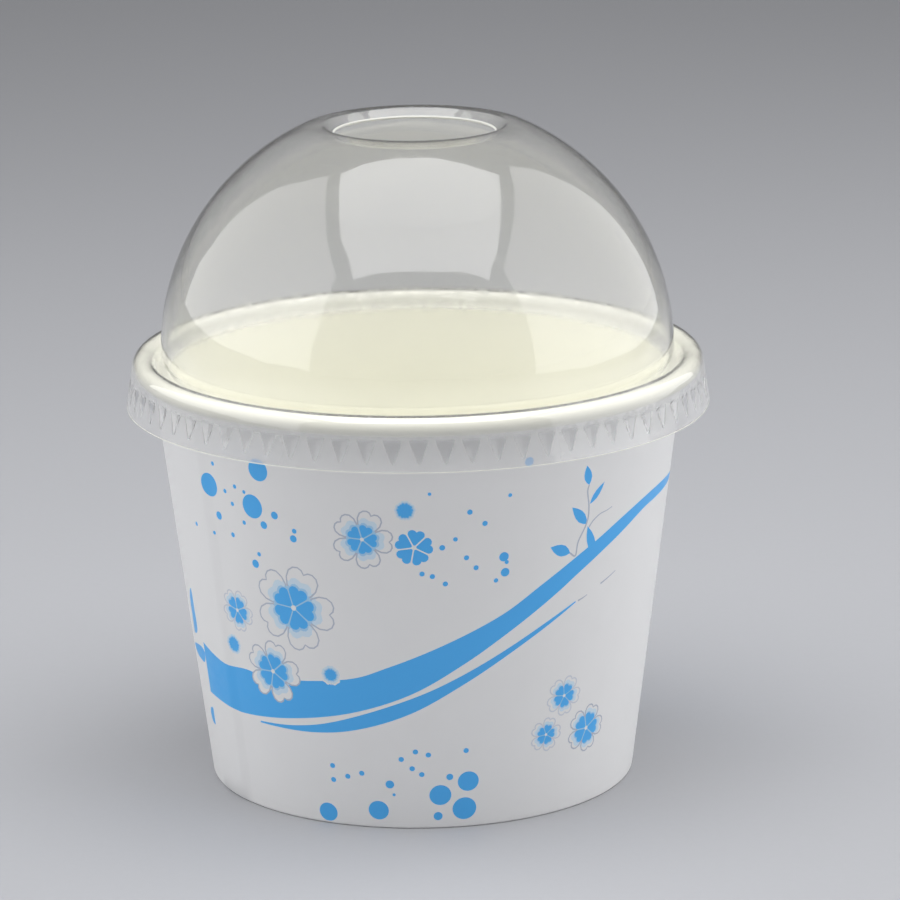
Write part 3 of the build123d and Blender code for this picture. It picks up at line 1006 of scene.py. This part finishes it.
class DESSERTCUP_OT_dome_lid(bpy.types.Operator):
    """Builds the clear dome lid, its ring over the rim and its dented skirt"""

    bl_idname = "dessertcup.dome_lid"
    bl_label = "Dome Lid"

    def execute(self, context):
        sizes, lid = context.scene.cup_sizes, context.scene.lid_sizes
        line = lid_outline(Wall(sizes), sizes, lid)
        skirt = Skirt(sizes, lid, line[-1])
        dome = spun("clear_dome_lid", line, lid.dents * skirt.COLUMNS, -skirt.period / 2)
        dome = joined(dome, dented_skirt(skirt))
        in_edit_mode(bpy.ops.mesh.normals_make_consistent, inside=False)
        sheet = dome.modifiers.new("film", "SOLIDIFY")
        sheet.thickness = lid.film
        sheet.offset = 0
        sheet.use_even_offset = True
        bpy.ops.object.modifier_apply(modifier="film")
        faces_out(dome)
        bpy.ops.object.shade_smooth_by_angle(angle=radians(22))
        # Painted shade: the dents get a copy of the film with no haze and a lower bend, which keeps them
        # darker than the skirt between them, as the real dents look darker for what they reflect
        materials = [
            clear_film("thermoformed_pet_clear", 0.27, SHEET_BEND),
            cut_film("die_cut_pet_edge"),
            clear_film("thermoformed_pet_dent_painted_shade", 0.0, DENT_SHADE_BEND),
        ]
        give(dome, materials)
        hole_edge = lid.hole_diameter / 2 + 0.2 * MM
        for face in dome.data.polygons:
            r, z = hypot(face.center.x, face.center.y), face.center.z
            # Painted shade: the dent faces take the darker copy of the film
            if skirt.in_dent(face.center):
                face.material_index = 2
            if z < skirt.trim_z or (z > sizes.height and r < hole_edge):
                face.material_index = 1
        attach(dome, "lid")
        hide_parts("dome_lid")
        return {"FINISHED"}


class DESSERTCUP_OT_stage(bpy.types.Operator):
    """Sets the floor, the softboxes and the camera"""

    bl_idname = "dessertcup.stage"
    bl_label = "Studio Stage"

    def execute(self, context):
        scene, stage = context.scene, context.scene.stage_settings
        bpy.ops.object.select_all(action="DESELECT")
        bpy.ops.mesh.primitive_plane_add(size=24, location=(0, 0, 0))
        ground = context.object
        ground.name = ground.data.name = "studio_floor"
        ground.data.materials.append(painted_board("matt_painted_board", stage.floor_colour))
        # Name, place, tilt about X and Y in degrees, size and power. The ceiling only fills in shadows
        lamps = (
            ("softbox_overhead", (0.02, -0.065, 0.53), (22, 0), (0.5, 0.54), stage.overhead_power),
            ("softbox_left", (-0.62, -0.16, 0.56), (-14, -90), (0.95, 1.15), stage.side_power),
            ("softbox_right", (0.62, -0.04, 0.5), (-14, 90), (0.95, 1.15), stage.side_power),
            ("ceiling", (0.0, 0.4, 2.4), (0, 0), (5.0, 5.0), stage.ceiling_power),
        )
        for name, place, tilt, size, power in lamps:
            bpy.ops.object.light_add(type="AREA", location=place, rotation=(*map(radians, tilt), 0.0))
            lamp = context.object
            lamp.name = lamp.data.name = name
            lamp.data.shape = "RECTANGLE"
            lamp.data.size, lamp.data.size_y = size
            lamp.data.energy = power
            lamp.visible_camera = lamp.visible_transmission = False
            lamp.visible_glossy = name.startswith("softbox")
        world = bpy.data.worlds.new("soft_room")
        scene.world = world
        world.use_nodes = True
        room = next(n for n in world.node_tree.nodes if n.type == "BACKGROUND")
        room.inputs["Color"].default_value = (*stage.room_colour, 1)
        room.inputs["Strength"].default_value = stage.room_light
        bpy.ops.object.camera_add(location=CAMERA_PLACE)
        camera = context.object
        camera.name = camera.data.name = "camera"
        camera.data.lens = CAMERA_LENS
        camera.data.sensor_width = 36.0
        camera.data.clip_start = 0.01
        up = CAMERA_RIGHT.cross(CAMERA_AHEAD)
        turn = Matrix((CAMERA_RIGHT, up, -CAMERA_AHEAD)).transposed().to_4x4()
        camera.matrix_world = Matrix.Translation(CAMERA_PLACE) @ turn
        scene.camera = camera
        scene.view_settings.view_transform = "Standard"
        return {"FINISHED"}


class DESSERTCUP_PT_panel(bpy.types.Panel):
    """Lists the cup's sizes, colours and build steps"""

    bl_label = "Dessert Cup"
    bl_idname = "DESSERTCUP_PT_panel"
    bl_space_type = "VIEW_3D"
    bl_region_type = "UI"
    bl_category = "Dessert Cup"

    def draw(self, context):
        for group, kind in GROUPS.items():
            box = self.layout.box()
            for name in kind.__annotations__:
                box.prop(getattr(context.scene, group), name)
        for step in STEPS:
            self.layout.operator(step.bl_idname)


STEPS = (DESSERTCUP_OT_sidewall, DESSERTCUP_OT_base_disc, DESSERTCUP_OT_dome_lid, DESSERTCUP_OT_stage)
GROUPS = {
    "cup_sizes": CupSizes,
    "cup_colours": CupColours,
    "lid_sizes": LidSizes,
    "stage_settings": StageSettings,
}
CLASSES = (*GROUPS.values(), *STEPS, DESSERTCUP_PT_panel)


def register():
    for kind in CLASSES:
        bpy.utils.register_class(kind)
    for name, kind in GROUPS.items():
        setattr(bpy.types.Scene, name, PointerProperty(type=kind))


def unregister():
    for name in GROUPS:
        delattr(bpy.types.Scene, name)
    for kind in reversed(CLASSES):
        bpy.utils.unregister_class(kind)


def main():
    register()
    bpy.ops.dessertcup.sidewall()
    bpy.ops.dessertcup.base_disc()
    bpy.ops.dessertcup.dome_lid()
    bpy.ops.dessertcup.stage()


if __name__ == "__main__":
    main()
